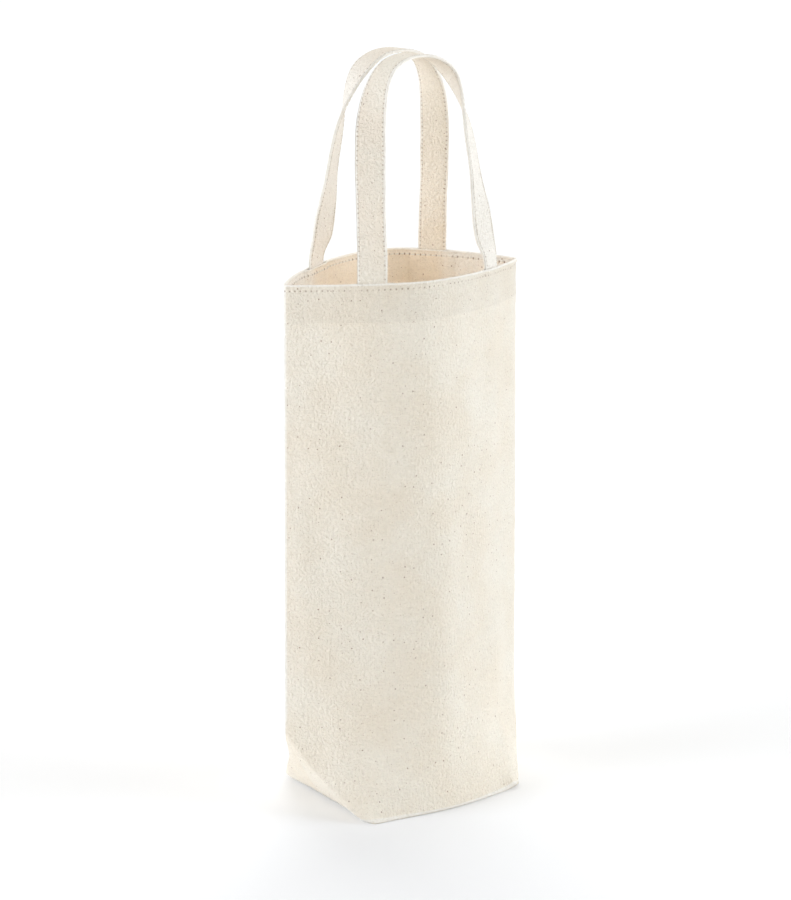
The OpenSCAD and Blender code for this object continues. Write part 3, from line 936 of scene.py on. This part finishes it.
# %% Wrap and close a strap
def make_strap(name, side, seed):
    bm = bmesh.new()
    around, stations = len(strap_section) - 1, len(strap_stations) - 1
    bmesh.ops.create_grid(bm, x_segments=around, y_segments=stations, size=1)
    uv = bm.loops.layers.uv.new("cloth")
    column_of = {v: round((v.co.x + 1) / 2 * around) for v in bm.verts}
    row_of = {v: round((v.co.y + 1) / 2 * stations) for v in bm.verts}
    for face in bm.faces:
        for loop in face.loops:
            laid = round_strap[column_of[loop.vert]], strap_stations[row_of[loop.vert]]
            loop[uv].uv = Vector(laid) * MM
    rings = []
    # The folded layers are uneven: the strap swells, narrows and strays a little.
    for along in strap_stations:
        a, b = strap_section[:, 0].copy(), strap_section[:, 1].copy()
        swell = [noise.noise(Vector((along / 5, x / 9, seed * 2.1))) for x in a]
        a += 0.16 * noise.noise(Vector((along / 11, seed, 0)))
        ring = strap_points(along, a, b * (1 + 0.07 * np.array(swell)), seed)
        free = float(smooth((LEG - abs(along)) / 30))
        ring += inward_dir * 0.45 * free * noise.noise(Vector((along / 17, seed * 3.7, 0)))
        rings.append(turned(ring, side))
    for v in bm.verts:
        v.co = Vector(rings[row_of[v]][column_of[v]]) * MM
    bmesh.ops.remove_doubles(bm, verts=bm.verts[:], dist=1e-6)
    open_ends = [e for e in bm.edges if e.is_boundary]
    bmesh.ops.edgeloop_fill(bm, edges=open_ends)
    bmesh.ops.recalc_face_normals(bm, faces=bm.faces[:])
    piece = finish_mesh(name, bm)
    piece.data.materials.append(strap_canvas)
    return piece


front_strap = make_strap("front_strap", 1, FRONT)
back_strap = make_strap("back_strap", -1, BACK)
print("strap:", len(front_strap.data.polygons), "faces")

# %% [markdown]
# ## Stitches
#
# The stitches are modelled one by one, because their rhythm is what tells sewn
# cloth from printed cloth. Each is a small flattened sphere that sinks into the
# cloth at both ends, set between two needle holes and a few degrees off the row.


# %% Make one stitch
STITCH_SHARE, STITCH_W, STITCH_H = 0.84, 0.66, 0.46
one_bm = bmesh.new()
bmesh.ops.create_uvsphere(
    one_bm, u_segments=6, v_segments=6, radius=0.5, matrix=Matrix.Rotation(math.pi / 2, 4, "Y")
)
one_stitch = bpy.data.meshes.new("one_stitch")
one_bm.to_mesh(one_stitch)
one_bm.free()
print("one stitch:", len(one_stitch.polygons), "faces")


# %% Set a stitch between two holes
def add_stitch(bm, start, end, out):
    """Stretches a copy of the stitch between two holes, turned a little off its row."""
    way, out = Vector(end - start), Vector(out)
    length = way.length
    way.normalize()
    out = (out - way * way.dot(out)).normalized()
    beside = out.cross(way)
    way = (way + beside * 0.1 * (1 + noise.noise(Vector(start) * 0.9))).normalized()
    axes = Matrix((way * length, out.cross(way) * STITCH_W, out * STITCH_H)).transposed()
    placed = one_stitch.copy()
    placed.transform(Matrix.Translation(Vector(start + end) / 2 * MM) @ (axes * MM).to_4x4())
    bm.from_mesh(placed)
    bpy.data.meshes.remove(placed)


# %% Lay the rows along the mouth
MOUTH_STITCHES, THREAD_SINK = 30, 0.1


def mouth_stitches(name, side, seed):
    """One row on the panel, and the same row on the facing inside."""
    bm = bmesh.new()
    h = BAG_H - STITCH_DROP
    middles = np.arange(-MOUTH_STITCHES, MOUTH_STITCHES + 1) * MOUTH_PITCH
    near, far = (middles + sign * MOUTH_PITCH * STITCH_SHARE / 2 for sign in (-1, 1))

    def on_panel(s):
        return THREAD_SINK

    def on_facing(s):
        return facing_inset(s, h) + CLOTH_T - THREAD_SINK

    for inset, sign in ((on_panel, 1), (on_facing, -1)):
        starts = turned(wall(h, near, seed, inset(near)), side)
        ends = turned(wall(h, far, seed, inset(far)), side)
        deeper = turned(wall(h, near, seed, inset(near) + 1), side)
        for start, end, inner in zip(starts, ends, deeper):
            add_stitch(bm, start, end, (start - inner) * sign)
    piece = finish_mesh(name, bm)
    piece.data.materials.append(thread)
    return piece


# %% Lay the rows along the straps
def strap_stitches(name, side, seed):
    """Two rows along the strap, on its outer and inner face."""
    bm = bmesh.new()
    count = int((LEG - STRAP_PITCH / 2) / STRAP_PITCH)
    a = np.array([row for face in (1, -1) for row in strap_rows for _ in (0, 1)])
    level = STRAP_T / 2 - THREAD_SINK
    b = np.array([face * (level - deep) for face in (1, -1) for _ in strap_rows for deep in (0, 1)])
    for k in range(-count, count + 1):
        near, far = ((k + sign * STITCH_SHARE / 2) * STRAP_PITCH for sign in (-1, 1))
        starts = turned(strap_points(near, a, b, seed), side)
        ends = turned(strap_points(far, a, b, seed), side)
        for i in range(0, len(a), 2):
            add_stitch(bm, starts[i], ends[i], starts[i] - starts[i + 1])
    piece = finish_mesh(name, bm)
    piece.data.materials.append(thread)
    return piece


front_mouth_row = mouth_stitches("front_mouth_row", 1, FRONT)
back_mouth_row = mouth_stitches("back_mouth_row", -1, BACK)
front_strap_rows = strap_stitches("front_strap_rows", 1, FRONT)
back_strap_rows = strap_stitches("back_strap_rows", -1, BACK)
on_strap = len(front_strap_rows.data.polygons) // len(one_stitch.polygons)
print("stitches on a strap:", on_strap)

# %% [markdown]
# ## Turned-in edges
#
# Inside the bag, every seam leaves its two edges standing as a narrow double
# strip. They are seen only from above, but a bag without them looks moulded.
# Each strip is a grid along the seam, waved a little and given its thickness.

# %% Make the inner seams
ALLOWANCE_W = 8
widths = spaced((0, ALLOWANCE_W, 1))
# 0 at the seam itself, and 1 at the strip's loose edge.
loose_share = widths / ALLOWANCE_W
level_row = np.ones(len(widths))


def seam_strip(name, rows, place):
    piece = grid_piece(name, widths, rows, place)
    give_thickness(piece, 2 * CLOTH_T, offset=0, edge=0.4)
    piece.data.materials.append(seam_canvas)
    return piece


def side_strip(name, side):
    def place(h):
        edge = wall(h, np.array([PANEL_W / 2]), FRONT)[0]
        lean_over = 0.35 * widths * loose_share * smooth(h / 30)
        x = edge[0] - 1.6 - widths
        y = uneven(widths, h, 12, 22, 3 + side) * loose_share * 2.0 + lean_over * 0.4
        return turned(np.column_stack((x, y, level_row * edge[2])), side)

    return seam_strip(name, spaced((3.2, BAG_H - SEAM_DIP - FACING_H - 2, 3)), place)


def corner_strip(name, side):
    def place(y):
        rise = 1.7 + 0.5 * uneven(widths, y, 9, 14, 9) * loose_share
        x = BASE_W / 2 - 1.2 - widths
        return turned(np.column_stack((x, level_row * y, rise)), side)

    return seam_strip(name, spaced((-45, 45, 2.5)), place)


def base_strip(name):
    reach = BASE_W / 2 - CLOTH_T - ALLOWANCE_W - 1.5

    def place(x):
        rise = 1.75 + 0.4 * uneven(widths, x, 9, 14, 13) * loose_share
        return np.column_stack((level_row * x, -widths, rise))

    return seam_strip(name, spaced((-reach, reach, 2.5)), place)


right_seam = side_strip("right_seam", 1)
left_seam = side_strip("left_seam", -1)
right_corner = corner_strip("right_corner", 1)
left_corner = corner_strip("left_corner", -1)
base_seam = base_strip("base_seam")
print("inner seams: 5")

# %% [markdown]
# ## Light and floor
#
# The photograph is a white studio with a large soft light on each side, and a
# pale floor that throws light back under the bag. Sun lamps with a wide angle
# stand in for soft boxes, because they light a floor evenly however far it goes.
# A faint lamp inside the bag stands in for the warm light that thin canvas lets
# through. The background is made white through the rays that the camera sees,
# and never by more light on the cloth. The side lamps are a little cool and the
# light from all round is warm, which keeps lit cloth pale and shaded cloth creamy.

# %% Floor
FLOOR_HALF_M = 30
floor_bm = bmesh.new()
bmesh.ops.create_grid(floor_bm, x_segments=1, y_segments=1, size=FLOOR_HALF_M)
bmesh.ops.translate(floor_bm, verts=floor_bm.verts[:], vec=(0, 0, -0.05 * MM))
floor = finish_mesh("floor", floor_bm)
print("floor:", 2 * FLOOR_HALF_M, "m wide")

# %% Paint the floor
floor_paint = bpy.data.materials.new("floor")
floor_paint.use_nodes = True
floor_tree = floor_paint.node_tree
floor_tree.nodes.remove(floor_tree.nodes["Principled BSDF"])


def seen_rays(start):
    """1 for the rays that show the studio itself, directly or in a reflection."""
    kinds = ("Camera", "Glossy", "Transmission")
    camera_ray, glossy_ray, passing_ray = (
        start.node("LightPath", {}, f"Is {kind} Ray") for kind in kinds
    )
    return camera_ray.math("MAXIMUM", glossy_ray).math("MAXIMUM", passing_ray)


start = Wire(floor_tree, None)
bounce = start.node("BsdfDiffuse", {"Color": (0.97, 0.97, 0.97, 1)})
shown = start.node("BsdfDiffuse", {"Color": (0.86, 0.86, 0.86, 1)})
glow = start.node("Emission", {"Color": (1, 1, 1, 1), "Strength": 0.13})
lit = start.node("AddShader", {0: shown, 1: glow})
look = start.node("MixShader", {"Fac": seen_rays(start), 1: bounce, 2: lit})
floor_tree.links.new(look.socket, floor_tree.nodes["Material Output"].inputs["Surface"])
floor.data.materials.append(floor_paint)
print("floor paint:", len(floor_tree.nodes), "nodes")

# %% World
world = bpy.data.worlds.new("studio")
bpy.context.scene.world = world
world.use_nodes = True
world_tree = world.node_tree
for node in [n for n in world_tree.nodes if n.type == "BACKGROUND"]:
    world_tree.nodes.remove(node)
sky = Wire(world_tree, None)
around = sky.node("Background", {"Color": (1, 0.963, 0.895, 1), "Strength": 0.45})
white = sky.node("Background", {"Color": (1, 1, 1, 1), "Strength": 1.0})
studio = sky.node("MixShader", {"Fac": seen_rays(sky), 1: around, 2: white})
world_tree.links.new(studio.socket, world_tree.nodes["World Output"].inputs["Surface"])
print("world:", len(world_tree.nodes), "nodes")


# %% Lamps
def soft_light(name, toward, level, spread, colour):
    """A lamp as wide as a soft box. A white face turned to it shows as bright as its level."""
    lamp = bpy.data.objects.new(name, bpy.data.lights.new(name, "SUN"))
    lamp.data.energy, lamp.data.angle = level * math.pi, math.radians(spread)
    lamp.data.color = colour
    lamp.rotation_euler = Vector(toward).to_track_quat("Z", "Y").to_euler()
    bpy.context.scene.collection.objects.link(lamp)


soft_light("right_box", (0.77, -0.58, 0.19), 0.72, 42, (0.92, 1.02, 1.17))
soft_light("left_box", (-0.93, 0.22, 0.23), 0.68, 38, (0.93, 1.01, 1.16))
soft_light("back_box", (0.4, 0.6, 0.6), 0.49, 60, (0.99, 1, 1.01))
soft_light("front_fill", (-0.4, -0.85, 0.35), 0.07, 60, (1, 0.98, 0.94))
# Under the mouth, shining up on to the lining.
inner = bpy.data.objects.new("through_cloth", bpy.data.lights.new("through_cloth", "AREA"))
inner.data.shape, inner.data.size, inner.data.size_y = "ELLIPSE", 110 * MM, 60 * MM
inner.data.energy, inner.data.color = 0.03, (1, 0.86, 0.73)
inner.location, inner.rotation_euler = (15 * MM, 0, 250 * MM), (math.pi, 0, 0)
inner.visible_camera = False
bpy.context.scene.collection.objects.link(inner)
print("lamps:", len(bpy.data.lights))

# %% Show colours as they are written
view = bpy.context.scene.view_settings
view.view_transform = "Standard"
print("view transform:", view.view_transform)

# %% [markdown]
# ## What moves with what
#
# The bag is one body and each handle another. A strap is a single piece of
# cloth that leaves the mouth and rises into its arch. The bag's pieces are handed
# to the bag, each strap and its stitches keep their place baked into their mesh,
# and the solids that all of them stand for are hidden.

# %% Hand every piece to its body
on_bag = {
    front_cloth: ("front_panel", "canvas"),
    back_cloth: ("back_panel", "canvas"),
    front_band: ("front_facing", "canvas_lining"),
    back_band: ("back_facing", "canvas_lining"),
    left_seam: ("left_side_seam", "canvas_lining"),
    right_seam: ("right_side_seam", "canvas_lining"),
    left_corner: ("left_corner_seam", "canvas_lining"),
    right_corner: ("right_corner_seam", "canvas_lining"),
    base_seam: ("bottom_seam", "canvas_lining"),
    front_mouth_row: ("front_mouth_stitching", "thread"),
    back_mouth_row: ("back_mouth_stitching", "thread"),
}
for piece, (node, slot) in on_bag.items():
    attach(piece, "bag")
    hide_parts(node)

handles = {
    "front_loop": (front_strap, front_strap_rows, "front", ("front_left", "front_right")),
    "back_loop": (back_strap, back_strap_rows, "back", ("back_left", "back_right")),
}
for body, (strap, rows, half, ends) in handles.items():
    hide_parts(half + "_handle", *(end + "_handle_end" for end in ends))
    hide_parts(half + "_handle_stitching")
    for piece in (strap, rows):
        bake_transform(piece)
print("pieces on the bag:", len(on_bag), "and on the handles:", 2 * len(handles))

# %% [markdown]
# ## The size of the flat cloth
#
# The two panels and the facings are cloth, and the pattern gives the size each
# was cut to. A panel is the rectangle less its two corners. Its turned-in edges
# are pieces of their own.

# %% Work out the size the cloth was cut to
cut_w, cut_h = PANEL_W, BAG_H + BASE_D / 2
cut_area = (cut_w * cut_h - 2 * (BASE_D / 2) ** 2) * MM * MM
for piece, rows in ((front_cloth, front_mouth_row), (back_cloth, back_mouth_row)):
    cut_w * MM
    cut_h * MM
for piece in (front_band, back_band):
    PANEL_W * MM
print("panel cut to", cut_w, "by", cut_h, "mm")
